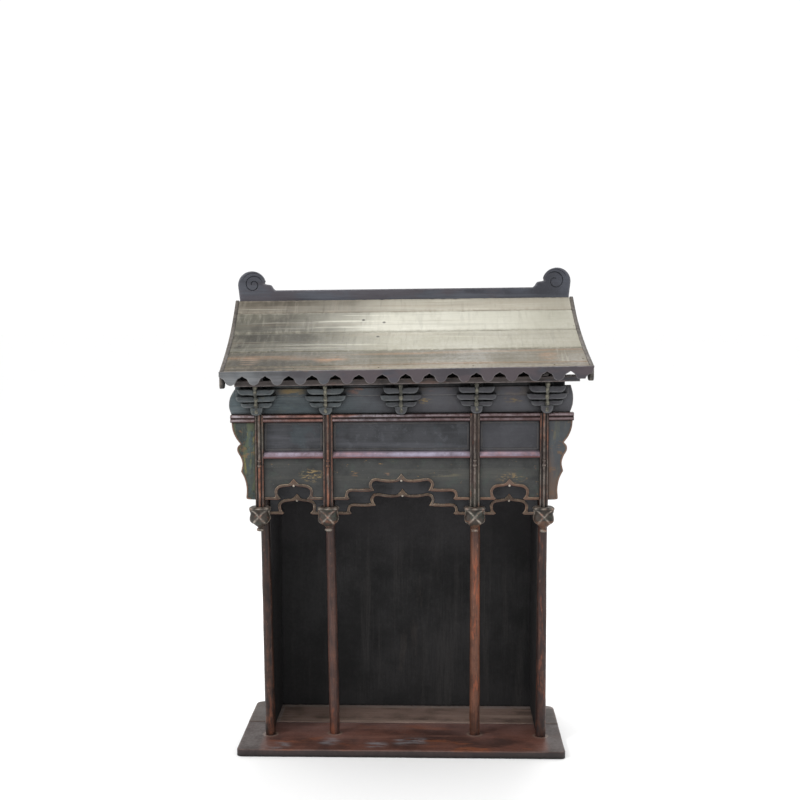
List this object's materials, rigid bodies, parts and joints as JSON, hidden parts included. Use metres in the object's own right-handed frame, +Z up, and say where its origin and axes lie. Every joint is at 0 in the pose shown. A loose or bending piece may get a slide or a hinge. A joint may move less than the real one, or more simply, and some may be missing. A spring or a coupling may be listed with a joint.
{
  "type": "altar shrine",
  "caption": "Carved wooden house shrine on a plank base, with columns, hanging lotus drops, scalloped boards, bracketed frieze and a concave plank roof.",
  "frame": {"origin": "middle of the bottom of the whole shrine's box, on the floor that the base stands on", "axes": "+Z up, the open front faces -Y, +X to the viewer's right"},
  "size_m": [0.8442, 0.3932, 1.1252],
  "materials": {
    "base_wood": "worn red-brown lacquer with pale scuffs",
    "column_wood": "dark red-brown lacquer rubbed to orange-red",
    "interior_wood": "near-black, smoke-darkened, matt",
    "moulding_wood": "red-brown lacquer with pinkish worn beads",
    "panel_wood": "charcoal paint, dull",
    "valance_wood": "greenish charcoal paint with gold flecks and ochre-brown borders",
    "lotus_wood": "brown-grey with pale worn petal edges",
    "wing_wood": "dark teal-green paint with yellow-ochre streaks",
    "frieze_wood": "slate paint with worn yellow and red patches",
    "roof_wood": "weathered grey-cream bare wood",
    "trim_wood": "slate blue-grey paint, worn at the edges"
  },
  "bodies": {
    "root": {"base_front_board": "base_wood", "base_rear_board": "base_wood", "column_outer_left": "column_wood", "hanging_post_outer_left": "moulding_wood", "lotus_drop_outer_left": "lotus_wood", "column_inner_left": "column_wood", "hanging_post_inner_left": "moulding_wood", "lotus_drop_inner_left": "lotus_wood", "column_inner_right": "column_wood", "hanging_post_inner_right": "moulding_wood", "lotus_drop_inner_right": "lotus_wood", "column_outer_right": "column_wood", "hanging_post_outer_right": "moulding_wood", "lotus_drop_outer_right": "lotus_wood", "side_wall_left": "interior_wood", "side_wall_right": "interior_wood", "back_panel": "interior_wood", "ceiling_board": "interior_wood", "inner_valance_left": "valance_wood", "front_valance_left": "valance_wood", "upper_panel_left": "panel_wood", "inner_valance_middle": "valance_wood", "front_valance_middle": "valance_wood", "upper_panel_middle": "panel_wood", "inner_valance_right": "valance_wood", "front_valance_right": "valance_wood", "upper_panel_right": "panel_wood", "top_rail": "moulding_wood", "mid_rail": "moulding_wood", "wing_left": "wing_wood", "wing_right": "wing_wood", "frieze_board": "frieze_wood", "bracket_1": "frieze_wood", "roof_plank_1": "roof_wood", "bracket_2": "frieze_wood", "roof_plank_2": "roof_wood", "bracket_3": "frieze_wood", "roof_plank_3": "roof_wood", "bracket_4": "frieze_wood", "roof_plank_4": "roof_wood", "bracket_5": "frieze_wood", "roof_plank_5": "roof_wood", "eave_plank": "trim_wood", "barge_board_left": "trim_wood", "barge_board_right": "trim_wood", "fascia": "trim_wood", "ridge_board": "trim_wood"}
  },
  "joints": []
}
